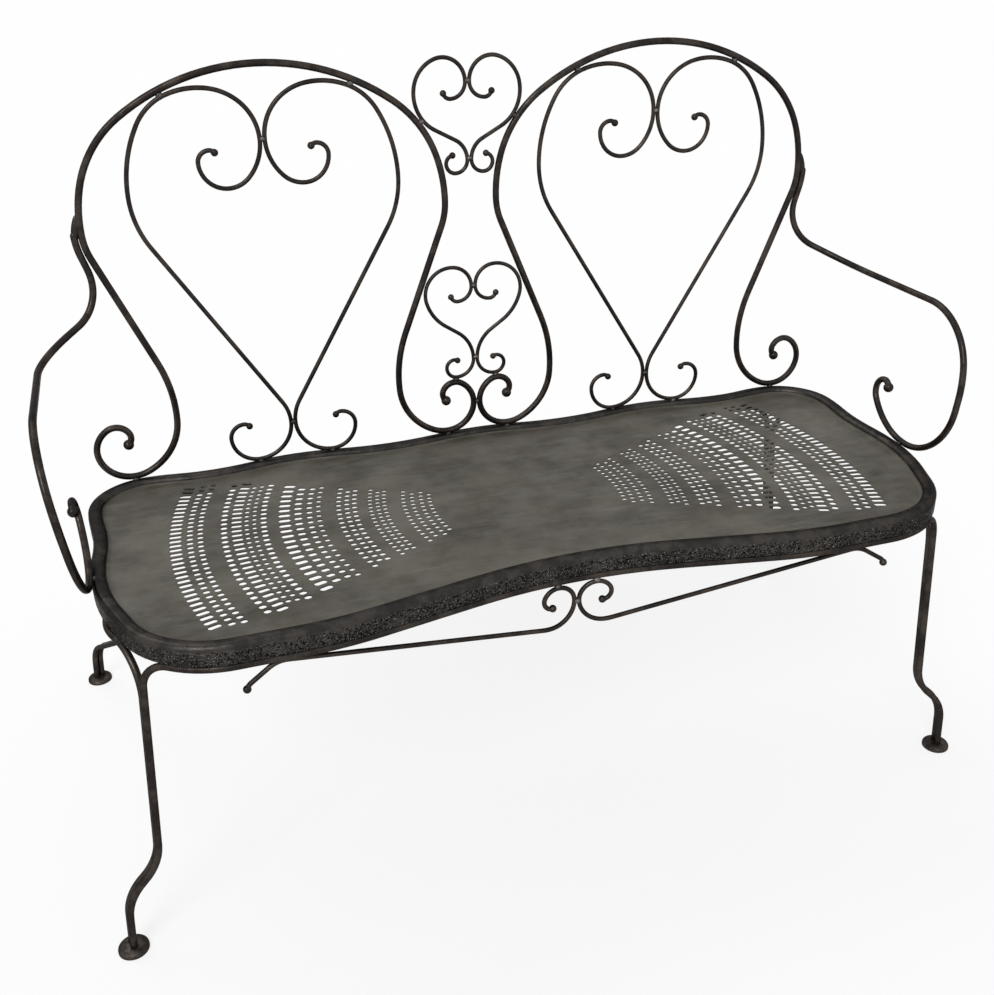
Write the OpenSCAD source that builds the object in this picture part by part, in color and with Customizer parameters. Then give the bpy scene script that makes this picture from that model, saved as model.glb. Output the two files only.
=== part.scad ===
// Garden bench of bent round bar: a double arched back filled with heart scrolls,
// a pierced sheet seat with a rolled edge, and legs of two bars side by side.
// X runs along the bench, Y from front to back, Z up, in millimetres.
// The origin is on the floor, under the middle of the whole bench.

/* [Bars] */
// Diameter of the bar of the arches, arms, rails and legs
bar_d = 9; // [8:0.5:10]
// Diameter of the bar of the large hearts
heart_d = 6; // [5:0.5:7]
// Diameter of the bar of the small hearts
small_d = 5.5; // [4.5:0.5:6.5]
// Diameter of the bar of the apron scrolls
apron_d = 6; // [5:0.5:7]
// Gap left for the weld between bars that touch
touch = 0.2; // [0.1:0.05:0.4]

/* [Back] */
// Height of the arches above the seat edge; the hearts follow it
arch_h = 540; // [510:5:570]

/* [Seat] */
// Height of the top of the seat edge above the floor
seat_h = 444; // [420:2:470]
// Depth of the seat from the lobe behind its middle to the hollow in front
seat_d = 428; // [415:1:450]
// Width of the rolled edge
edge_w = 18; // [17:1:22]
// Height of the rolled edge
edge_t = 26; // [22:1:30]
// Radius of the edge's shoulders
edge_r = 7; // [5:0.5:8]
// Thickness of the edge's sheet
edge_wall = 2.5; // [2:0.5:3]
// Depth of the seat sheet below the top of the edge
pan_drop = 11; // [9:1:14]
// Thickness of the seat sheet
pan_t = 2; // [1.5:0.5:3]

/* [Piercing] */
// Half angle of a fan of slots
fan_angle = 20; // [15:1:20]
// Width of a slot
slot_w = 8; // [4:0.5:10]
// Distance between slots along a row
slot_pitch = 22; // [18:1:30]

/* [Arms] */
// Height of the arms above the seat edge
arm_h = 206; // [196:2:220]
// Distance that an arm stands outside the seat edge
arm_flare = 24; // [16:1:30]

/* [Legs] */
// Radius of the bend from the front and rear rails into the legs
rail_bend_r = 38; // [30:1:42]
// Radius of the bend from the side rails into the legs
side_bend_r = 55; // [48:1:60]
// Height of the knee of a front leg
front_knee_h = 150; // [140:2:165]
// Height of the knee of a rear leg
rear_knee_h = 240; // [230:5:260]
// Length of the sloping run of a rear leg
rear_run = 190; // [176:2:204]
// Outward lean of a leg in degrees
leg_lean = 4.5; // [2.5:0.5:5.5]
// Diameter of a foot
foot_d = 38; // [32:1:46]
// Height of a foot
foot_t = 8; // [6:1:12]

/* [Hidden] */

iron = [0.11, 0.10, 0.095];
sheet = [0.28, 0.27, 0.22];
bar_r = bar_d / 2;
heart_r = heart_d / 2;
small_r = small_d / 2;
apron_r = apron_d / 2;
lap = 0.5;          // overlap of one bend with the next along a bar
draw_down = 0.06;   // every other bend is drawn this much thinner
knob_share = 0.8;   // radius of a scroll's rounded tip over the bar's diameter
bar_fn = 32;
bend_fn = 96;
edge_fn = 180;

// Places along a bar. A place is a 4 x 4 matrix whose X axis points along the bar;
// a bend turns to the left of it, in its XY plane, or to the right if negative.
function move(p) = [[1, 0, 0, p[0]], [0, 1, 0, p[1]], [0, 0, 1, p[2]], [0, 0, 0, 1]];
function turned(a) = [[cos(a), -sin(a), 0, 0], [sin(a), cos(a), 0, 0], [0, 0, 1, 0], [0, 0, 0, 1]];
function rolled(a) = [[1, 0, 0, 0], [0, cos(a), -sin(a), 0], [0, sin(a), cos(a), 0], [0, 0, 0, 1]];
upright = rolled(90);
function spot(place) = [place[0][3], place[1][3], place[2][3]];
function heading(place) = [place[0][0], place[1][0], place[2][0]];
function unit(v) = v / norm(v);
function beside(d, v) = unit(v - (v * d) * d);
// The place at p that heads along d, with the direction v to its left
function facing(p, d, v) =
    let (h = unit(d), l = beside(h, v), u = cross(h, l))
    [[h[0], l[0], u[0], p[0]], [h[1], l[1], u[1], p[1]], [h[2], l[2], u[2], p[2]], [0, 0, 0, 1]];

// A step is [length] for a straight, [radius, turn] for a bend in the same plane, or
// [radius, direction] for a bend towards a direction in space.
function straight(s) = len(s) == 1;
function aimed(s) = len(s) == 2 && is_list(s[1]);
function start_of(place, s) = aimed(s) ? facing(spot(place), heading(place), s[1]) : place;
function flat(place, s) = aimed(s) ? [s[0], acos(heading(place) * unit(s[1]))] : s;
function after(s) = straight(s)
    ? move([s[0], 0, 0])
    : move([s[0] * abs(sin(s[1])), s[0] * sign(s[1]) * (1 - cos(s[1])), 0]) * turned(s[1]);
// The place where each step starts, and the step with its turn
function route(place, steps, i = 0) =
    i == len(steps) ? [] :
    let (here = start_of(place, steps[i]), s = flat(place, steps[i]))
    concat([[here, s]], route(here * after(s), steps, i + 1));
function end_of(r) = r[len(r) - 1][0] * after(r[len(r) - 1][1]);
function sized(shares, size) = [for (s = shares) straight(s) ? [s[0] * size] : [s[0] * size, s[1]]];
function backwards(steps) = [for (i = [len(steps) - 1 : -1 : 0]) steps[i]];
// Points along a route, close together in its bends
point_turn = 2;
function points(r) = [for (q = r)
    for (k = [0 : point_turn : straight(q[1]) ? 0 : abs(q[1][1])])
        spot(q[0] * after(straight(q[1]) ? [0] : [q[1][0], sign(q[1][1]) * k]))];
function lowest(r) = min([for (p = points(r)) p[2]]);
function highest(r) = max([for (p = points(r)) p[2]]);
function widest(r) = max([for (p = points(r)) p[0]]);

module rod_piece(s, radius) {
    if (straight(s))
        translate([-lap, 0, 0]) rotate([0, 90, 0]) cylinder(r = radius, h = s[0] + lap, $fn = bar_fn);
    else {
        way = sign(s[1]);
        over = way * lap / s[0] * 180 / PI;
        translate([0, way * s[0], 0]) rotate([0, 0, -way * 90 - over])
            rotate_extrude(angle = s[1] + over, $fn = bend_fn)
                translate([s[0], 0]) circle(r = radius, $fn = bar_fn);
    }
}
module rod(r, radius, thin_first = 0) {
    for (i = [0 : len(r) - 1])
        multmatrix(r[i][0]) rod_piece(r[i][1], radius - (i + thin_first) % 2 * draw_down);
}
module knob(r, radius) {
    multmatrix(end_of(r)) sphere(r = 2 * radius * knob_share, $fn = bar_fn);
}
// A bar that starts at a joint and ends in a scroll both ways
module scroll(start, one_way, other_way, radius) {
    one = route(start, one_way);
    other = route(start * turned(180), other_way);
    rod(one, radius);
    rod(other, radius, 1);
    knob(one, radius);
    knob(other, radius);
}
// The pieces are worked out with Y zero in the plane of the back, then moved to stand
// about the middle of the bench
module in_place() {
    translate([0, -middle_y, 0]) children();
}
module left_hand() {
    mirror([1, 0, 0]) in_place() children();
}

// Arches: from the crown down the side to the scroll that stands on the seat edge,
// as shares of the arch's height
crown_share = 0.5556;
crown_turn = 35;
arch_shares = [
    [0.2778, -39], [0.3519, -17], [0.1667, -21], [0.2926], [0.3611, 26], [0.1519, 62],
    [0.0926, 30], [0.0778, 70], [0.0685, 73], [0.0370, 90], [0.0259, 80]];
shoulder_steps = 2;     // bends between the crown and the shoulder where the arm joins
scroll_steps = 4;       // bends of the scroll that comes highest between the arches
crown_r = crown_share * arch_h;
arch_steps = sized(arch_shares, arch_h);
shoulder_r = arch_steps[shoulder_steps][0];
seat_top = seat_h + touch;
arch_half = route(upright * after([crown_r, -crown_turn]), arch_steps);
crown_z = seat_top + bar_r - lowest(arch_half);
arch_x = widest(arch_half) + bar_r + touch / 2;
arch_shoulder = spot(arch_half[shoulder_steps][0]);
scroll_top = crown_z + highest(
    [for (i = [len(arch_half) - scroll_steps : len(arch_half) - 1]) arch_half[i]]);
module arch() {
    half = route(move([0, 0, crown_z]) * upright * after([crown_r, -crown_turn]), arch_steps);
    crown_left = move([0, 0, crown_z]) * upright * turned(180)
        * after([crown_r, crown_turn]) * turned(180);
    multmatrix(crown_left) rod_piece([crown_r, -2 * crown_turn], bar_r);
    for (side = [0, 1])
        mirror([side, 0, 0]) {
            rod(half, bar_r, 1);
            knob(half, bar_r);
        }
}
module arch_right() {
    color(iron) in_place() translate([arch_x, 0, 0]) arch();
}
module arch_left() {
    color(iron) left_hand() translate([arch_x, 0, 0]) arch();
}

// Large hearts: each half runs from its upper scroll over the lobe to its lower scroll
lobe_shares = [
    [0.1192, -50], [0.1333, -30], [0.1852, -30], [0.1389, -40], [0.3241, -30], [0.2315, -31.6]];
heart_foot_shares = [[0.1111, 31.6], [0.0926, 90], [0.0667, 90], [0.0370, 90], [0.0167, 55]];
heart_curl_shares = [[0.1222, 45], [0.0704, 45], [0.0630, 90], [0.0278, 90], [0.0167, 50]];
lobe_steps = sized(lobe_shares, arch_h);
heart_foot_steps = sized(heart_foot_shares, arch_h);
function lobe_route(z) = route(move([0, 0, z]) * upright * turned(90), lobe_steps);
lobe_end = end_of(lobe_route(0));
// The straight side brings the two halves together again below
heart_side = -spot(lobe_end * after(heart_foot_steps[0]))[0] / heading(lobe_end)[0];
heart_steps = concat(lobe_steps, [[heart_side]], heart_foot_steps);
heart_z = seat_top + heart_r - lowest(route(upright * turned(90), heart_steps));
module heart_half() {
    start = move([heart_r + touch / 2, 0, heart_z]) * upright * turned(90);
    scroll(start, heart_steps, sized(heart_curl_shares, arch_h), heart_r);
}
module heart_right_outer() {
    color(iron) in_place() translate([arch_x, 0, 0]) heart_half();
}
module heart_right_inner() {
    color(iron) in_place() translate([arch_x, 0, 0]) mirror([1, 0, 0]) heart_half();
}
module heart_left_outer() {
    color(iron) left_hand() translate([arch_x, 0, 0]) heart_half();
}
module heart_left_inner() {
    color(iron) left_hand() translate([arch_x, 0, 0]) mirror([1, 0, 0]) heart_half();
}

// Small hearts between the arches: one stands up at the crest, one lower down rests on
// the arches' scrolls
small_curl_shares = [[0.0389, 90], [0.0185, 75]];
small_curl_steps = sized(small_curl_shares, arch_h);
function closed(lobe, foot) =
    let (lobe_out = end_of(route(upright * turned(90), lobe)))
    concat(lobe, [[-spot(lobe_out * after(foot[0]))[0] / heading(lobe_out)[0]]], foot);
crest_height_share = 0.9232;
crest_lobe_shares = [[0.0574, -110], [0.0815, -60], [0.0963, -72]];
crest_foot_shares = [[0.0556, 62], [0.0315, 90], [0.0241, 90], [0.0204, 80]];
crest_steps = closed(sized(crest_lobe_shares, arch_h), sized(crest_foot_shares, arch_h));
module crest_half() {
    start = move([small_r + touch / 2, 0, seat_h + crest_height_share * arch_h]) * upright * turned(90);
    scroll(start, crest_steps, small_curl_steps, small_r);
}
module crest_scroll_right() {
    color(iron) in_place() crest_half();
}
module crest_scroll_left() {
    color(iron) left_hand() crest_half();
}
centre_lobe_shares = [[0.0537, -82], [0.0700, -114], [0.1222, -40]];
centre_foot_shares = [[0.0926, 56], [0.0481, 90], [0.0278, 90], [0.0222, 90], [0.0148, 35]];
centre_steps = closed(sized(centre_lobe_shares, arch_h), sized(centre_foot_shares, arch_h));
centre_z = scroll_top + bar_r + small_r + touch - lowest(route(upright * turned(90), centre_steps));
module centre_half() {
    start = move([small_r + touch / 2, 0, centre_z]) * upright * turned(90);
    scroll(start, centre_steps, small_curl_steps, small_r);
}
module centre_scroll_right() {
    color(iron) in_place() centre_half();
}
module centre_scroll_left() {
    color(iron) left_hand() centre_half();
}

// Outline of the seat, right half, clockwise from the rear middle to the front middle.
// Lobes carry the back's scrolls, the sides draw in, and the front is hollow.
lobe_turn = 10.2;
front_turn = 11.3;
corner_turn = 70;
dip_turn = 12.5;
rear_turn = 10;
side_turn = 8;
bulge_turn = 6;
rear_shares = [[1.087, -dip_turn], [1.087, dip_turn], [0.84, rear_turn], [0.84, -rear_turn]];
side_shares = [
    [0.1916, -90], [0.7477, -side_turn], [0.7477, side_turn], [0.8329, bulge_turn], [0.8329, -bulge_turn]];
front_side_share = 0.7061;
corner_share = 0.2941;
front_bulge_share = 1.836;
front_slope_share = 0.44;
front_hollow_share = 2.424;
lobe_r = arch_x / (4 * sin(lobe_turn));
front_side_r = front_side_share * seat_d;
corner_r = corner_share * seat_d;
front_bulge_r = front_bulge_share * arch_x;
front_hollow_r = front_hollow_share * arch_x;
seat_rear = 14;         // the outline's rear middle lies this far behind the back
seat_front = seat_rear - seat_d;
side_steps = concat(
    [[lobe_r, -lobe_turn], [lobe_r, 2 * lobe_turn], [lobe_r, -lobe_turn]],
    sized(rear_shares, arch_x), sized(side_shares, seat_d));
// The straights beside and before each front corner close the outline
function half_outline(beside_corner, before_corner) = concat(side_steps, [
    [front_side_r, corner_turn - 90], [beside_corner],
    [corner_r, -corner_turn], [before_corner],
    [front_bulge_r, -front_turn], [front_slope_share * arch_x], [front_hollow_r, front_turn]]);
outline_start = move([0, seat_rear, 0]);
open_end = spot(end_of(route(outline_start, half_outline(0, 0))));
beside_run = (open_end[1] - seat_front) / sin(corner_turn);
before_run = open_end[0] - beside_run * cos(corner_turn);
outline_half = half_outline(beside_run, before_run);
outline = route(outline_start, concat(outline_half, backwards(outline_half)));
side_bulge = spot(end_of(route(outline_start, side_steps)));

// Rolled edge: a channel with round shoulders, open below
module channel(w, h, r, top) {
    for (x = [-r, r - w])
        translate([x, top - r]) circle(r = r, $fn = bend_fn);
    translate([r - w, top - h]) square([w - 2 * r, h]);
    translate([-w, top - h]) square([w, h - r]);
}
module edge_section(thin) {
    wall = edge_wall - thin;
    difference() {
        translate([-thin, 0]) channel(edge_w - 2 * thin, edge_t - 2 * thin, edge_r - thin, -thin);
        translate([-wall, 0]) channel(edge_w - 2 * wall, edge_t, edge_r - wall, -wall);
    }
}
module edge_piece(s, thin) {
    if (straight(s))
        translate([-lap, 0, 0]) rotate([90, 0, 90]) linear_extrude(height = s[0] + lap) edge_section(thin);
    else {
        way = sign(s[1]);
        over = way * lap / s[0] * 180 / PI;
        translate([0, way * s[0], 0]) rotate([0, 0, -way * 90 - over])
            rotate_extrude(angle = s[1] + over, $fn = edge_fn)
                translate([s[0], 0]) scale([-way, 1]) edge_section(thin);
    }
}
module seat_edge() {
    color(iron) in_place() translate([0, 0, seat_h])
        for (i = [0 : len(outline) - 1])
            multmatrix(outline[i][0]) edge_piece(outline[i][1], i % 2 * draw_down);
}

// Seat sheet with a fan of slots at each end, in rows about a point beyond the middle
fan_centre_share = -0.195;   // of half the seat's width
fan_middle_share = 0.536;    // of the way from the back to the front middle
fan_reach_share = 0.44;      // of the seat's depth, the most that a row runs either way
row_shares = [
    0.433, 0.473, 0.536, 0.569, 0.606, 0.638, 0.700,
    0.734, 0.767, 0.823, 0.858, 0.894, 0.966, 1.007];
slot_length_share = 0.021;
seat_half = side_bulge[0];
// The outline drawn in by a distance, with chords that leave the curve by half the gap
function chord_turn(radius) = 2 * acos(1 - touch / 2 / radius);
function inset_points(r, inset) = [for (q = r)
    let (turns = straight(q[1]) ? 0 : q[1][1],
        n = max(1, ceil(abs(turns) / chord_turn(q[1][0] + inset))))
    for (k = [0 : n - 1])
        let (p = q[0] * (straight(q[1]) ? move([0, 0, 0]) : after([q[1][0], turns * k / n]))
            * [0, -inset, 0, 1])
        [p[0], p[1]]];
module fan() {
    length = slot_length_share * seat_half;
    reach = fan_reach_share * seat_d;
    for (share = row_shares) {
        radius = share * seat_half;
        step = slot_pitch / radius * 180 / PI;
        n = floor(min(fan_angle, asin(min(1, reach / radius))) / step);
        for (k = [-n : n])
            translate([fan_centre_share * seat_half, fan_middle_share * seat_front])
                rotate(k * step) translate([radius, 0]) square([length, slot_w], center = true);
    }
}
module seat_pan() {
    color(sheet) in_place() translate([0, 0, seat_h - pan_drop])
        linear_extrude(height = pan_t)
            difference() {
                polygon(inset_points(outline, edge_w + touch));
                for (side = [0, 1])
                    mirror([side, 0]) fan();
            }
}

// Rails and legs: four bars bent in a U. Each leg is two of them side by side.
rail_inset = 3;     // rails lie this far inside the seat's outline
rear_rail_y = -6;
rail_z = seat_h - edge_t - touch - bar_r;
bar_gap = bar_d + touch;
foot_top = foot_t + touch + bar_r * sin(leg_lean);
down = [sin(leg_lean), 0, -cos(leg_lean)];
function level(a) = [cos(a), sin(a), 0];
function kick(azimuth, slope) = level(azimuth) * sin(slope) - [0, 0, cos(slope)];
front_kick_angle = -10;
front_slope_angle = 50;
front_kick_r = 68;
rear_kick_angle = 63;
rear_slope_angle = 59;
rear_kick_r = 80;
rear_toe_r = 50;
front_leave_turn = 36;
front_leg_bends = [[front_kick_r, kick(front_kick_angle, front_slope_angle)], [front_kick_r, down]];
rear_leg_bends = [[rear_kick_r, kick(rear_kick_angle, rear_slope_angle)], [rear_run], [rear_toe_r, down]];
function to_height(place, z) = [(spot(place)[2] - z) / cos(leg_lean)];
function leg_steps(place, bends) =
    concat(bends, [to_height(end_of(route(place, bends)), foot_top)]);

front_rail_steps = [
    [front_hollow_r + rail_inset, -front_turn], [front_slope_share * arch_x],
    [front_bulge_r - rail_inset, front_turn], [before_run],
    [corner_r - rail_inset, front_leave_turn], [rail_bend_r, down]];
front_rail_start = move([0, seat_front + rail_inset, rail_z]);
front_rail_top = route(front_rail_start, front_rail_steps);
front_shin = to_height(end_of(front_rail_top), front_knee_h);
front_knee = spot(end_of(route(front_rail_start, concat(front_rail_steps, [front_shin]))));
function knee_place(p) = facing(p, down, [1, 0, 0]);
front_leg = leg_steps(knee_place(front_knee), front_leg_bends);
module front_rail() {
    half = route(front_rail_start, concat(front_rail_steps, [front_shin], front_leg));
    middle = front_rail_start * turned(180)
        * after([front_hollow_r + rail_inset, front_turn]) * turned(180);
    color(iron) in_place() {
        multmatrix(middle)
            rod_piece([front_hollow_r + rail_inset, -2 * front_turn], bar_r);
        for (side = [0, 1])
            mirror([side, 0, 0])
                rod([for (i = [1 : len(half) - 1]) half[i]], bar_r, 1);
    }
}

side_turn_r = 80;
side_turn_front = 26;
side_turn_rear = 34;
side_knee = front_knee + bar_gap * level(front_kick_angle + 90);
side_start = facing(side_knee, -down, [1, 0, 0]);
side_bend = [side_bend_r, level(90 - side_turn_front)];
side_rise = spot(end_of(route(side_start, [side_bend])))[2];
side_shin = [(rail_z - side_rise) / cos(leg_lean)];
side_rear_y = rear_rail_y + bar_gap * level(rear_kick_angle - 90)[1];
function side_rail_steps(run) = [
    side_shin, side_bend, [side_turn_r, [0, 1, 0]], [run],
    [side_turn_r, level(90 + side_turn_rear)], [side_bend_r, down]];
side_run = side_rear_y - spot(end_of(route(side_start, side_rail_steps(0))))[1];
side_rail_top = route(side_start, side_rail_steps(side_run));
rear_shin = to_height(end_of(side_rail_top), rear_knee_h);
side_rear_knee = spot(end_of(route(side_start, concat(side_rail_steps(side_run), [rear_shin]))));
rear_leg = leg_steps(knee_place(side_rear_knee), rear_leg_bends);
module side_rail() {
    rod(route(side_start, concat(side_rail_steps(side_run), [rear_shin], rear_leg)), bar_r);
    rod(route(knee_place(side_knee), front_leg), bar_r, 1);
}
module side_rail_right() {
    color(iron) in_place() side_rail();
}
module side_rail_left() {
    color(iron) left_hand() side_rail();
}

rear_knee = side_rear_knee - bar_gap * level(rear_kick_angle - 90);
rear_rail_start = move([0, rear_rail_y, rail_z]);
rear_bend = [[rail_bend_r, down]];
rear_rail_shin = to_height(end_of(route(rear_rail_start, rear_bend)), rear_knee_h);
rear_rail_end = end_of(route(rear_rail_start, concat(rear_bend, [rear_rail_shin])));
rear_half_run = rear_knee[0] - spot(rear_rail_end)[0];
module rear_rail() {
    half = route(move([rear_half_run, rear_rail_y, rail_z]), concat(rear_bend, [rear_rail_shin], rear_leg));
    color(iron) in_place() {
        translate([-rear_half_run, rear_rail_y, rail_z])
            rotate([0, 90, 0]) cylinder(r = bar_r, h = 2 * rear_half_run, $fn = bar_fn);
        for (side = [0, 1])
            mirror([side, 0, 0]) rod(half, bar_r, 1);
    }
}

// Feet: a domed disc under each pair of bars
rim_t = 2.5;
front_foot = (spot(end_of(route(knee_place(front_knee), front_leg)))
    + spot(end_of(route(knee_place(side_knee), front_leg)))) / 2;
rear_foot = (spot(end_of(route(knee_place(rear_knee), rear_leg)))
    + spot(end_of(route(knee_place(side_rear_knee), rear_leg)))) / 2;
dome_flat = bar_d + touch;
module foot(p) {
    rise = foot_t - rim_t;
    dome_w = foot_d / 2 - dome_flat;
    steps = 6;
    translate([p[0], p[1], 0])
        rotate_extrude($fn = bend_fn)
            polygon(concat([[0, 0], [foot_d / 2, 0]],
                [for (k = [0 : steps])
                    let (a = 90 * k / steps)
                    [dome_flat + dome_w * cos(a), rim_t + rise * sin(a)]],
                [[0, foot_t]]));
}
module foot_front_right() {
    color(iron) in_place() foot(front_foot);
}
module foot_front_left() {
    color(iron) left_hand() foot(front_foot);
}
module foot_rear_right() {
    color(iron) in_place() foot(rear_foot);
}
module foot_rear_left() {
    color(iron) left_hand() foot(rear_foot);
}

front_reach = min([for (q = outline) spot(q[0])[1]]) + rail_inset - bar_r;
middle_y = (front_reach + rear_foot[1] + foot_d / 2) / 2;

// Apron scrolls: each hangs under the front rail, which it touches at its scroll and
// again at the top of its long run
apron_turn = 6.4;
apron_slope_angle = 9.9;
apron_dip_angle = 33;
apron_curl_shares = [[0.0845, -90], [0.070, -60], [0.044, -90], [0.030, -40]];
apron_belly_shares = [[0.121, 90], [0.220, apron_slope_angle]];
apron_tail_shares = [[0.110, -apron_slope_angle - apron_dip_angle], [0.095], [0.045, -40]];
apron_curl = sized(apron_curl_shares, arch_x);
apron_belly = sized(apron_belly_shares, arch_x);
apron_tail = sized(apron_tail_shares, arch_x);
apron_top = rail_z - bar_r - apron_r - touch;
apron_z = apron_top - apron_curl[0][0];
apron_rise = apron_curl[0][0] - spot(end_of(route(upright * turned(-90), apron_belly)))[2]
    - apron_tail[0][0] * (1 - cos(apron_slope_angle));
apron_run = apron_rise / sin(apron_slope_angle);
module apron_half() {
    start = move([apron_r + touch / 2, seat_front + rail_inset, apron_z])
        * turned(-apron_turn) * upright * turned(90);
    scroll(start, apron_curl, concat(apron_belly, [[apron_run]], apron_tail), apron_r);
}
module apron_scroll_right() {
    color(iron) in_place() apron_half();
}
module apron_scroll_left() {
    color(iron) left_hand() apron_half();
}

// Arms: each starts beside its arch, swings out and forward, and curls back on to the
// shoulder of the seat edge
arm_tail_r = shoulder_r + bar_gap;
arm_in_angle = 16;
arm_out_r = 57;
arm_turn_r = 90;
arm_out_angle = -35;
arm_dip_angle = 24;
arm_low_offset = 32;    // the lowest point lies this far in front of the seat's side bulge
arm_rest_angle = 45;          // angle up the shoulder at which the arm rests on it
arm_front_shares = [[0.50, 45], [0.45, 30], [0.73, 15]];
arm_under_share = 0.39;
arm_back_shares = [[0.53, 50], [0.12, 40], [0.078, 90], [0.053, 75]];
arm_rest_gap = edge_r + bar_r + touch;
arm_low = [
    side_bulge[0] - edge_r - front_side_r + sqrt(pow(front_side_r, 2) - pow(arm_low_offset, 2))
        + arm_rest_gap * cos(arm_rest_angle),
    side_bulge[1] - arm_low_offset,
    seat_h - edge_r + arm_rest_gap * sin(arm_rest_angle)];
arm_x = arm_low[0] + arm_flare;
arm_z = seat_h + arm_h;
arm_drop = arm_z - arm_low[2];
arm_lean = atan(arm_flare / arm_drop);
arm_down = [-sin(arm_lean), 0, -cos(arm_lean)];
arm_front = sized(arm_front_shares, arm_h);
arm_under = [arm_under_share * arm_h, 90];
arm_first = [arm_front[0][0], [0, -cos(arm_front[0][1]), 0] + arm_down * sin(arm_front[0][1])];
arm_front_steps = [arm_first, arm_front[1], arm_front[2]];
arm_level = facing([0, 0, 0], [0, -1, 0], arm_down);
arm_front_end = spot(end_of(route(arm_level, concat(arm_front_steps, [arm_under]))));
arm_fall = arm_drop / cos(arm_lean) + arm_front_end[2] / cos(arm_lean);
arm_level_y = arm_low[1] - arm_front_end[1];
arm_top = [arch_x + arch_shoulder[0] + bar_gap, 0, crown_z + arch_shoulder[2]];
arm_out = [arm_out_r, level(arm_out_angle) * cos(arm_dip_angle) - [0, 0, sin(arm_dip_angle)]];
function arm_swing(tail, out) = [
    [arm_tail_r, [-sin(arm_in_angle), 0, -cos(arm_in_angle)]], [tail],
    arm_out, [out], [arm_turn_r, [0, -1, 0]]];
arm_start = facing(arm_top, [0, 0, -1], [1, 0, 0]);
arm_open = spot(end_of(route(arm_start, arm_swing(0, 0))));
arm_miss = [arm_x - arm_open[0], arm_open[2] - arm_z];
// Lengths that bring the arm to its own height and distance out
arm_det = sin(arm_in_angle) * sin(arm_dip_angle)
    + cos(arm_in_angle) * cos(arm_dip_angle) * cos(arm_out_angle);
arm_out_run = (arm_miss[0] * cos(arm_in_angle) + arm_miss[1] * sin(arm_in_angle)) / arm_det;
arm_tail = (arm_miss[1] - arm_out_run * sin(arm_dip_angle)) / cos(arm_in_angle);
arm_swing_steps = arm_swing(arm_tail, arm_out_run);
arm_run = spot(end_of(route(arm_start, arm_swing_steps)))[1] - arm_level_y;
module arm() {
    path = route(arm_start, concat(arm_swing_steps, [[arm_run]], arm_front_steps, [[arm_fall]],
        [arm_under], sized(arm_back_shares, arm_h)));
    rod(path, bar_r);
    knob(path, bar_r);
    multmatrix(arm_start) sphere(r = bar_r - draw_down, $fn = bar_fn);
}
module arm_right() {
    color(iron) in_place() arm();
}
module arm_left() {
    color(iron) left_hand() arm();
}

arch_left();
arch_right();
heart_left_outer();
heart_left_inner();
heart_right_inner();
heart_right_outer();
crest_scroll_left();
crest_scroll_right();
centre_scroll_left();
centre_scroll_right();
arm_left();
arm_right();
seat_pan();
seat_edge();
front_rail();
rear_rail();
side_rail_left();
side_rail_right();
foot_front_left();
foot_front_right();
foot_rear_left();
foot_rear_right();
apron_scroll_left();
apron_scroll_right();
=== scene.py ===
import math

import bmesh
import bpy
from mathutils import Matrix, Vector


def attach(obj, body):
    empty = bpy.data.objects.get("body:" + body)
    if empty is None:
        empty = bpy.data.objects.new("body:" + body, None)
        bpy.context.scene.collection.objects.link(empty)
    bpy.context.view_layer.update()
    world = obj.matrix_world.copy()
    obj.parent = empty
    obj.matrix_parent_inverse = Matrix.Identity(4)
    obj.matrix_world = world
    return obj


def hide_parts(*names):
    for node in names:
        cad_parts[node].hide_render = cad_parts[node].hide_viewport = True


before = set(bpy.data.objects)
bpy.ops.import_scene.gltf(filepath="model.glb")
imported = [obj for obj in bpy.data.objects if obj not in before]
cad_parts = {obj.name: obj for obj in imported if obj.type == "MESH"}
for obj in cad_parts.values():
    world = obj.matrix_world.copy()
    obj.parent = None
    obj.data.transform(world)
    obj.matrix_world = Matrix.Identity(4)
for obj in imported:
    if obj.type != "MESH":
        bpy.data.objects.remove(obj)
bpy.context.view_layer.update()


# Camera: it stands in front of the bench and a little to its left, higher than the back,
# and looks down on the seat. Its place and turns follow the photograph.
photo_width = 994
focal_pixels = 1129
camera_place = (-0.444, -1.3841, 1.129)
camera_yaw, camera_pitch, camera_roll = 17.38, 27.03, -1.27

lens = bpy.data.cameras.new("camera")
lens.sensor_fit = "HORIZONTAL"
lens.lens = lens.sensor_width * focal_pixels / photo_width
camera = bpy.data.objects.new("camera", lens)
bpy.context.collection.objects.link(camera)
camera.matrix_world = (
    Matrix.Translation(camera_place)
    @ Matrix.Rotation(math.radians(-camera_yaw), 4, "Z")
    @ Matrix.Rotation(math.radians(90 - camera_pitch), 4, "X")
    @ Matrix.Rotation(math.radians(camera_roll), 4, "Z"))
bpy.context.scene.camera = camera
bpy.context.scene.view_settings.view_transform = "Standard"


# Floor and light: a plain white studio floor without an edge, an even white room, and two
# broad soft lamps on the left, one in front of the bench and a weaker one behind it.
floor_half = 40
floor_colour = (0.97, 0.97, 0.97, 1)
floor_glow = 0.72           # how much of the floor seen straight is plain white
room_level = 0.62           # the room's light on the bench, where the background is 1
# each lamp: its turns in degrees, the width of its disc in degrees, and its strength
lamps = {
    "key_lamp": ((50, 0, -38), 28, 1.25),
    "back_lamp": ((-42, 0, 28), 40, 0.55)}


def shader(material, wanted="ShaderNodeBsdfPrincipled", **values):
    """Clears a material and gives it one shader, with plain values on its own sockets."""
    material.use_nodes = True
    tree = material.node_tree
    tree.nodes.clear()
    made = tree.nodes.new(wanted)
    for name, value in values.items():
        made.inputs[name.replace("_", " ")].default_value = value
    out = tree.nodes.new("ShaderNodeOutputMaterial")
    tree.links.new(made.outputs[0], out.inputs["Surface"])
    return tree, made


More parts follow.
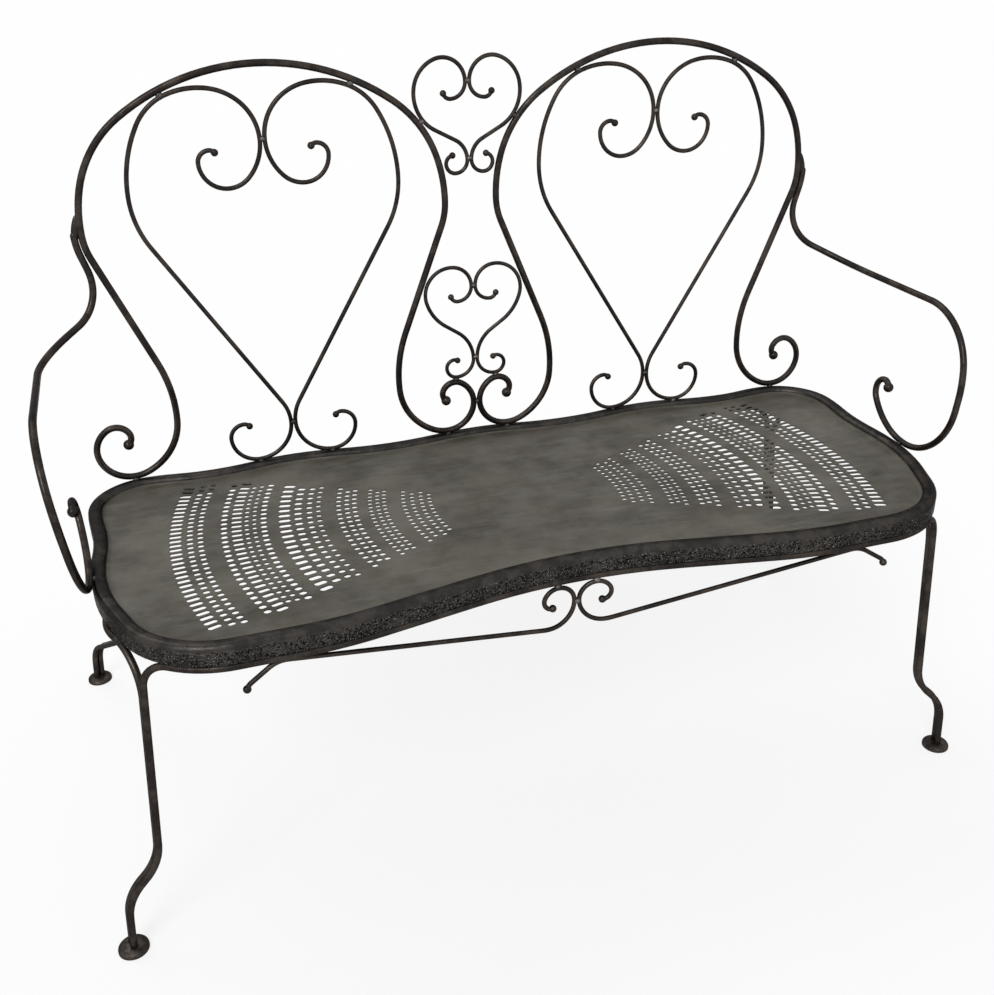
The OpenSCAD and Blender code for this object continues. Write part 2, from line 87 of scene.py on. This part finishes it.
def combine(tree, kind, *values):
    """A Math node on values that are sockets or plain numbers."""
    made = tree.nodes.new("ShaderNodeMath")
    made.operation = kind
    for socket, value in zip(made.inputs, values):
        if isinstance(value, (int, float)):
            socket.default_value = value
        else:
            tree.links.new(value, socket)
    return made.outputs[0]


def seen_straight(tree):
    """One for rays from the camera, from a gloss or through glass, and zero for the rest."""
    path = tree.nodes.new("ShaderNodeLightPath")
    total = path.outputs["Is Camera Ray"]
    for name in ("Is Glossy Ray", "Is Transmission Ray"):
        total = combine(tree, "MAXIMUM", total, path.outputs[name])
    return total


def finished_mesh(name, form, smooth=False):
    """The form as a mesh on an object of its own, which stays at the origin."""
    mesh = bpy.data.meshes.new(name)
    form.to_mesh(mesh)
    form.free()
    for face in mesh.polygons:
        face.use_smooth = smooth
    piece = bpy.data.objects.new(name, mesh)
    bpy.context.collection.objects.link(piece)
    return piece


form = bmesh.new()
bmesh.ops.create_grid(form, x_segments=1, y_segments=1, size=floor_half)
floor = finished_mesh("floor", form)
floor_paint = bpy.data.materials.new("floor paint")
tree, matt = shader(floor_paint, "ShaderNodeBsdfDiffuse", Color=floor_colour)
glow = tree.nodes.new("ShaderNodeEmission")
blend = tree.nodes.new("ShaderNodeMixShader")
tree.links.new(combine(tree, "MULTIPLY", seen_straight(tree), floor_glow), blend.inputs[0])
tree.links.new(matt.outputs[0], blend.inputs[1])
tree.links.new(glow.outputs[0], blend.inputs[2])
tree.links.new(blend.outputs[0], tree.nodes["Material Output"].inputs["Surface"])
floor.data.materials.append(floor_paint)

room = bpy.data.worlds.new("room")
bpy.context.scene.world = room
room.use_nodes = True
tree = room.node_tree
level = tree.nodes.new("ShaderNodeMapRange")
level.inputs["To Min"].default_value = room_level
level.inputs["To Max"].default_value = 1
tree.links.new(seen_straight(tree), level.inputs["Value"])
tree.nodes["Background"].inputs["Color"].default_value = (1, 1, 1, 1)
tree.links.new(level.outputs[0], tree.nodes["Background"].inputs["Strength"])

for name, (turns, width, strength) in lamps.items():
    light = bpy.data.lights.new(name, "SUN")
    light.energy = strength
    light.angle = math.radians(width)
    lamp = bpy.data.objects.new(name, light)
    lamp.rotation_euler = [math.radians(turn) for turn in turns]
    bpy.context.collection.objects.link(lamp)


# Bars of the back, arms, rails and legs: round wrought iron bar, bent hot on a form. The
# forge scale was waxed nearly black, and handling has rubbed it to a warm brown sheen.
def group(name, inputs, outputs):
    """A node group with named number inputs and outputs: its tree, ends and Object place."""
    made = bpy.data.node_groups.new(name, "ShaderNodeTree")
    for label, value in inputs.items():
        socket = made.interface.new_socket(label, in_out="INPUT", socket_type="NodeSocketFloat")
        socket.default_value = value
    for label in outputs:
        made.interface.new_socket(label, in_out="OUTPUT", socket_type="NodeSocketFloat")
    start = made.nodes.new("NodeGroupInput")
    end = made.nodes.new("NodeGroupOutput")
    return made, start, end, object_place(made)


def object_place(tree):
    """Where a point lies on the bench, in metres."""
    return tree.nodes.new("ShaderNodeTexCoord").outputs["Object"]


def noise(tree, place, scale, detail=4, rough=0.6, stretch=None):
    """A cloudy pattern on a place; the scale is its spots to a metre."""
    if stretch:
        turn = tree.nodes.new("ShaderNodeMapping")
        turn.inputs["Scale"].default_value = stretch
        tree.links.new(place, turn.inputs["Vector"])
        place = turn.outputs[0]
    cloud = tree.nodes.new("ShaderNodeTexNoise")
    cloud.inputs["Detail"].default_value = detail
    cloud.inputs["Roughness"].default_value = rough
    tree.links.new(place, cloud.inputs["Vector"])
    if isinstance(scale, (int, float)):
        cloud.inputs["Scale"].default_value = scale
    else:
        tree.links.new(scale, cloud.inputs["Scale"])
    return cloud.outputs["Fac"]


def ramp(tree, value, low, high, to_low=0.0, to_high=1.0):
    """Spreads the part of a value between low and high, and holds it beyond."""
    made = tree.nodes.new("ShaderNodeMapRange")
    made.clamp = True
    made.interpolation_type = "SMOOTHSTEP"
    ends = {"From Min": low, "From Max": high, "To Min": to_low, "To Max": to_high}
    for label, number in ends.items():
        made.inputs[label].default_value = number
    tree.links.new(value, made.inputs["Value"])
    return made.outputs[0]


def tint(tree, mask, low, high):
    """A colour between two colours; each is a socket or three numbers."""
    made = tree.nodes.new("ShaderNodeMix")
    made.data_type = "RGBA"
    tree.links.new(mask, made.inputs[0])
    for socket, colour in ((made.inputs[6], low), (made.inputs[7], high)):
        if isinstance(colour, tuple):
            socket.default_value = (*colour, 1)
        else:
            tree.links.new(colour, socket)
    return made.outputs[2]


def bump(tree, height, depth):
    """The surface raised by a height of up to a depth in metres, as a normal."""
    made = tree.nodes.new("ShaderNodeBump")
    made.inputs["Distance"].default_value = depth
    tree.links.new(height, made.inputs["Height"])
    return made.outputs[0]


def placed(tree, source, **values):
    """A node group set in a material, with its own values."""
    made = tree.nodes.new("ShaderNodeGroup")
    made.node_tree = source
    for name, value in values.items():
        made.inputs[name].default_value = value
    return made


# forge scale: shallow hammered hollows with finer scale on them, and broad worn patches
forged, start, end, place = group(
    "forge scale", {"Hollows": 90, "Grain": 900}, ["Height", "Patches"])
hollows = noise(forged, place, start.outputs["Hollows"], detail=3, rough=0.5)
grain = noise(forged, place, start.outputs["Grain"], detail=3, rough=0.65)
grain_share = 0.28
forged.links.new(
    combine(forged, "ADD", hollows, combine(forged, "MULTIPLY", grain, grain_share)),
    end.inputs["Height"])
forged.links.new(
    ramp(forged, noise(forged, place, scale=26, detail=5, rough=0.7), low=0.42, high=0.62),
    end.inputs["Patches"])

# rust pits: small sharp holes where rust has eaten in, on a share of the surface
pitted, start, end, place = group("rust pits", {"Pits": 600, "Share": 0.5}, ["Depth"])
pit = pitted.nodes.new("ShaderNodeTexVoronoi")
pit.feature = "SMOOTH_F1"
pitted.links.new(place, pit.inputs["Vector"])
pitted.links.new(start.outputs["Pits"], pit.inputs["Scale"])
eaten = combine(
    pitted, "GREATER_THAN", noise(pitted, place, scale=120, detail=3), start.outputs["Share"])
hole = ramp(pitted, pit.outputs["Distance"], low=0.15, high=0.5, to_low=1, to_high=0)
pitted.links.new(combine(pitted, "MULTIPLY", hole, eaten), end.inputs["Depth"])

sheen = (0.25, 0.22, 0.2, 1)        # what iron sends back at a low angle: dull and warm
rust_colour = (0.045, 0.026, 0.018)
pit_share = 0.5


def iron(name, dark, worn, gloss, hollows, grain, depth):
    """Waxed dark iron: forge scale in relief, and worn patches of a second colour."""
    made = bpy.data.materials.new(name)
    tree, skin = shader(made, Metallic=0.8, Specular_IOR_Level=0.4, Specular_Tint=sheen)
    scale = placed(tree, forged, Hollows=hollows, Grain=grain)
    pits = placed(tree, pitted, Pits=700, Share=0.56)
    colour = tint(tree, scale.outputs["Patches"], dark, worn)
    rust = combine(tree, "MULTIPLY", pits.outputs["Depth"], pit_share)
    tree.links.new(tint(tree, rust, colour, rust_colour), skin.inputs["Base Color"])
    tree.links.new(
        ramp(tree, noise(tree, object_place(tree), scale=60, detail=5), low=0.35, high=0.65,
             to_low=gloss - 0.07, to_high=gloss + 0.09),
        skin.inputs["Roughness"])
    relief = combine(tree, "SUBTRACT", scale.outputs["Height"], rust)
    tree.links.new(bump(tree, relief, depth), skin.inputs["Normal"])
    return made


def dress(material, slot, *names):
    """Gives CAD nodes a material. The slot is not used."""
    for name in names:
        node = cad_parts[name]
        node.data.materials.clear()
        node.data.materials.append(material)


bar_iron = iron(
    "waxed bar iron", dark=(0.024, 0.021, 0.020), worn=(0.056, 0.047, 0.040),
    gloss=0.28, hollows=110, grain=900, depth=0.0003)
small_iron = iron(
    "waxed small bar iron", dark=(0.024, 0.021, 0.020), worn=(0.054, 0.045, 0.038),
    gloss=0.28, hollows=150, grain=1000, depth=0.00025)

sides = ("left", "right")
dress(bar_iron, "bar_iron", "front_rail", "rear_rail", *["side_rail_" + s for s in sides])
dress(bar_iron, "bar_iron", *[bar + s for bar in ("arch_", "arm_") for s in sides])
dress(small_iron, "bar_iron",
      *["heart_%s_%s" % (s, half) for s in sides for half in ("outer", "inner")])
dress(small_iron, "bar_iron",
      *[part + "_scroll_" + s for part in ("crest", "centre", "apron") for s in sides])


# Feet: forged discs with a domed top, one under each pair of leg bars. They are waxed as
# the bars are, and scuffed by the floor.
foot_iron = iron(
    "waxed foot iron", dark=(0.030, 0.027, 0.025), worn=(0.075, 0.062, 0.054),
    gloss=0.38, hollows=140, grain=700, depth=0.0009)
dress(foot_iron, "foot_iron", *["foot_%s_%s" % (row, s) for row in ("front", "rear") for s in sides])


# Rolled edge of the seat: sheet iron beaten over into a hollow rim. Its crest is smooth
# and black, and its outer wall is hammered and pitted, with painted glints: small bright specks.
crest_foot, wall_top = 0.4385, 0.4335       # heights between which crest turns to wall
black, brown_black = (0.030, 0.029, 0.028), (0.055, 0.050, 0.046)
# the speck grey is a painted glint: bright spots on the outer wall that stand for sparkle
pit_black, painted_glint_grey = (0.010, 0.009, 0.009), (0.26, 0.25, 0.24)

edge_iron = bpy.data.materials.new("rolled edge iron")
tree, skin = shader(edge_iron, Metallic=0.85, Specular_IOR_Level=0.4, Specular_Tint=sheen)
place = object_place(tree)
parts = tree.nodes.new("ShaderNodeSeparateXYZ")
tree.links.new(place, parts.inputs[0])
scale = placed(tree, forged, Hollows=70, Grain=420)
pits = placed(tree, pitted, Pits=330, Share=0.42)
wall = ramp(tree, parts.outputs["Z"], crest_foot, wall_top)
# painted glints: scattered bright grey specks, on the outer wall only
painted_glint_spots = combine(
    tree, "GREATER_THAN", noise(tree, place, scale=700, detail=2, rough=0.7), 0.63)
painted_glint_mask = combine(tree, "MULTIPLY", painted_glint_spots, wall)
colour = tint(tree, scale.outputs["Patches"], black, brown_black)
colour = tint(tree, combine(tree, "MULTIPLY", wall, pits.outputs["Depth"]), colour, pit_black)
tree.links.new(tint(tree, painted_glint_mask, colour, painted_glint_grey), skin.inputs["Base Color"])
tree.links.new(
    ramp(tree, noise(tree, place, scale=45), low=0.3, high=0.7, to_low=0.26, to_high=0.42),
    skin.inputs["Roughness"])
beaten = combine(
    tree, "SUBTRACT", noise(tree, place, scale=260, rough=0.7), pits.outputs["Depth"])
relief = combine(
    tree, "ADD", combine(tree, "MULTIPLY", scale.outputs["Height"], 0.35),
    combine(tree, "MULTIPLY", wall, beaten))
tree.links.new(bump(tree, relief, 0.0022), skin.inputs["Normal"])
dress(edge_iron, "rolled_edge", "seat_edge")


# Seat sheet: one sheet of iron, welded in and turned up where it meets the rolled edge.
# A fan of punched slots at each end lets the rain through. It is weathered olive grey.
sheet_top, sheet_thick = 0.435, 0.002
back_y = 0.125904                   # the plane of the back
seat_rear = back_y + 0.014          # the outline's rearmost point, in the middle
# the outline from there round the right end to the middle of the front: bends as radius
# and turn in degrees, and straights as their length alone
outline_steps = [
    (0.38713, -10.2), (0.38713, 20.4), (0.38713, -10.2), (0.29808, -12.5), (0.29808, 12.5),
    (0.23035, 10), (0.23035, -10), (0.08201, -90), (0.32002, -8), (0.32002, 8), (0.35648, 6),
    (0.35648, -6), (0.30221, -20), (0.03764,), (0.12588, -70), (0.06633,),
    (0.50347, -11.3), (0.12066,), (0.66471, 11.3)]
degrees_per_step = 3
# the turned-up lip: how far each line of it lies inside the outline, and its rise
lips = [(0.0182, 0.0030), (0.0193, 0.0010), (0.0222, 0)]
fan_centre = Vector((-0.110, back_y - 0.222, sheet_top))
fan_rise, fan_reach = 0.45, 0.192   # half a row is fan_rise times its place, and at most this
# each row: place along the bench, slot's length and width, and distance between slots
rows = [(x, 0.0068, 0.0052, 0.0105) for x in (0.128, 0.139, 0.151, 0.163, 0.189, 0.198, 0.208)]
rows += [(x, 0.0075, 0.0062, 0.0125) for x in (0.229, 0.239, 0.250)]
rows += [
    (0.277, 0.0070, 0.0060, 0.0140), (0.289, 0.0080, 0.0068, 0.0140),
    (0.304, 0.0105, 0.0074, 0.0145), (0.322, 0.0155, 0.0082, 0.0145),
    (0.349, 0.0062, 0.0074, 0.0122), (0.361, 0.0058, 0.0060, 0.0122),
    (0.371, 0.0060, 0.0062, 0.0122), (0.384, 0.0140, 0.0070, 0.0124),
    (0.400, 0.0070, 0.0078, 0.0124), (0.430, 0.0078, 0.0068, 0.0116),
    (0.443, 0.0085, 0.0066, 0.0116), (0.461, 0.0155, 0.0072, 0.0116)]
slot_sides = 8
slot_spread = 0.60                  # a slot's end as a radius, for each unit of its width


def half_outline(form, inset, height):
    """The right half of the seat's outline drawn in by a distance: its ends and its edges."""
    known = set(form.edges)
    tip = bmesh.ops.create_vert(form, co=(0, seat_rear - inset, height))["vert"][0]
    first, heading = tip, 0.0
    for step in outline_steps:
        ahead = Vector((math.cos(heading), math.sin(heading), 0))
        if len(step) == 1:
            tip = bmesh.ops.extrude_vert_indiv(form, verts=[tip])["verts"][0]
            tip.co += ahead * step[0]
            continue
        radius, turn = step
        left = Vector((-ahead.y, ahead.x, 0)) * math.copysign(1, turn)
        centre = tip.co + left * (radius + math.copysign(inset, turn))
        swept = bmesh.ops.spin(
            form, geom=[tip], cent=centre, axis=(0, 0, 1), dvec=(0, 0, 0),
            angle=math.radians(turn), steps=max(2, math.ceil(abs(turn) / degrees_per_step)),
            use_duplicate=False)
        tip = swept["geom_last"][0]
        heading += math.radians(turn)
    tip.co.x = 0
    return [first, tip], [e for e in form.edges if e not in known]


def punch(form, place, length, width, pitch):
    """A row of slots on an arc about the fan's centre: their edges."""
    radius = place - fan_centre.x
    step = pitch / radius
    count = int(math.asin(min(fan_rise * place, fan_reach) / radius) / step)
    made = []
    for k in range(-count, count + 1):
        slot = bmesh.ops.create_circle(
            form, segments=slot_sides, radius=width * slot_spread,
            matrix=Matrix.Rotation(math.pi / slot_sides, 4, "Z"))["verts"]
        for v in slot:
            v.co.x += math.copysign((length - width) / 2, v.co.x)
        spot = (Matrix.Translation(fan_centre) @ Matrix.Rotation(k * step, 4, "Z")
                @ Matrix.Translation((radius, 0, 0)))
        bmesh.ops.transform(form, matrix=spot, verts=slot)
        made += {e for v in slot for e in v.link_edges}
    return made


def mirrored(form):
    """Adds the left half, and turns every face outwards."""
    bmesh.ops.mirror(form, geom=form.verts[:] + form.edges[:] + form.faces[:], axis="X")
    bmesh.ops.remove_doubles(form, verts=form.verts, dist=1e-5)
    bmesh.ops.recalc_face_normals(form, faces=form.faces)


# the right half: the lip, then the sheet inside it filled around its slots
form = bmesh.new()
halves = [half_outline(form, inset, sheet_top + rise) for inset, rise in lips]
for (_, outer), (_, inner) in zip(halves, halves[1:]):
    bmesh.ops.bridge_loops(form, edges=outer + inner)
inner_ends, inner_line = halves[-1]
seam = bmesh.ops.contextual_create(form, geom=inner_ends)["edges"]
slots = [e for row in rows for e in punch(form, *row)]
bmesh.ops.triangle_fill(
    form, use_beauty=True, edges=inner_line + seam + slots, normal=(0, 0, 1))
mirrored(form)
if sum(f.normal.z for f in form.faces) < 0:
    bmesh.ops.reverse_faces(form, faces=form.faces)
bmesh.ops.solidify(form, geom=form.faces[:], thickness=sheet_thick)
seat_sheet = finished_mesh("seat_sheet", form)

olive_dark, olive_light = (0.040, 0.035, 0.025), (0.100, 0.091, 0.070)
rubbed_grey, scratch_grey = (0.115, 0.108, 0.092), (0.21, 0.205, 0.19)
rust_brown = (0.062, 0.046, 0.038)

weathered = bpy.data.materials.new("weathered seat sheet")
tree, skin = shader(weathered, Metallic=0.25, Specular_IOR_Level=0.35)
place = object_place(tree)
clouds = ramp(tree, noise(tree, place, scale=9, detail=6, rough=0.62), low=0.34, high=0.68)
streaks = ramp(
    tree, noise(tree, place, scale=30, detail=5, rough=0.7, stretch=(0.35, 1.3, 1)),
    low=0.40, high=0.66)
stains = ramp(tree, noise(tree, place, scale=16), low=0.50, high=0.74)
scratches = ramp(
    tree, noise(tree, place, scale=60, detail=3, rough=0.75, stretch=(0.12, 1.6, 1)),
    low=0.60, high=0.72)
colour = tint(tree, clouds, olive_dark, olive_light)
for mask, share, shade in (
        (streaks, 0.45, rubbed_grey), (stains, 0.55, rust_brown), (scratches, 0.22, scratch_grey)):
    colour = tint(tree, combine(tree, "MULTIPLY", mask, share), colour, shade)
tree.links.new(colour, skin.inputs["Base Color"])
tree.links.new(
    ramp(tree, noise(tree, place, scale=24, detail=5), low=0.3, high=0.7,
         to_low=0.46, to_high=0.66),
    skin.inputs["Roughness"])
relief = combine(
    tree, "ADD", noise(tree, place, scale=380, rough=0.7),
    combine(tree, "MULTIPLY", scratches, 0.5))
tree.links.new(bump(tree, relief, 0.0004), skin.inputs["Normal"])
seat_sheet.data.materials.append(weathered)
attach(seat_sheet, "root")
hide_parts("seat_pan")
dress(weathered, "seat_sheet", "seat_pan")


# Weld beads: small drops of weld metal where the bars touch each other and the edge. They
# are brighter than the bars, as the wax is thin on them.
paired_beads = [
    (0.0465, 0.1262, 0.4448), (0.4993, 0.1250, 0.4448), (0.2218, 0.1260, 0.4448),
    (0.3257, 0.1260, 0.4448), (0.0306, 0.1259, 0.5287), (0.0651, 0.1257, 0.8954),
    (0.1561, 0.1260, 0.9488), (0.3928, 0.1259, 0.9485), (0.2741, 0.1257, 0.4978),
    (0.2742, 0.1257, 0.8883), (0.5595, -0.1376, 0.4428), (0.0253, -0.2874, 0.4084)]
middle_beads = [
    (0, 0.1259, 0.4904), (0, 0.1261, 0.5598), (0, 0.1260, 0.6668), (0, 0.1257, 0.8437),
    (0, 0.1260, 0.9435), (0, -0.2852, 0.3817)]
bead_r = 0.0042
bead_shape = Matrix.Diagonal((1.15, 1.05, 0.9, 1))

form = bmesh.new()
for x, y, z in middle_beads + [(side * x, y, z) for x, y, z in paired_beads for side in (1, -1)]:
    bmesh.ops.create_icosphere(
        form, subdivisions=2, radius=bead_r, matrix=Matrix.Translation((x, y, z)) @ bead_shape)
weld_beads = finished_mesh("weld_beads", form, smooth=True)
weld_beads.data.materials.append(iron(
    "weld metal", dark=(0.045, 0.041, 0.039), worn=(0.20, 0.19, 0.18),
    gloss=0.36, hollows=420, grain=1500, depth=0.0012))
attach(weld_beads, "root")


# Forge welds: the top of each arm is drawn out thin and hammered on to its arch, so that
# the two bars run into one.
weld_from, weld_to = Vector((0.5215, back_y, 0.7790)), Vector((0.5149, back_y, 0.8090))
weld_half = (0.0038, 0.0050, 0.0200, 1)     # half its depth, width and length

form = bmesh.new()
along = (weld_to - weld_from).to_track_quat("Z", "Y").to_matrix().to_4x4()
bmesh.ops.create_uvsphere(
    form, u_segments=24, v_segments=16, radius=1,
    matrix=Matrix.Translation((weld_from + weld_to) / 2) @ along @ Matrix.Diagonal(weld_half))
mirrored(form)
forge_welds = finished_mesh("forge_welds", form, smooth=True)
forge_welds.data.materials.append(bar_iron)
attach(forge_welds, "root")
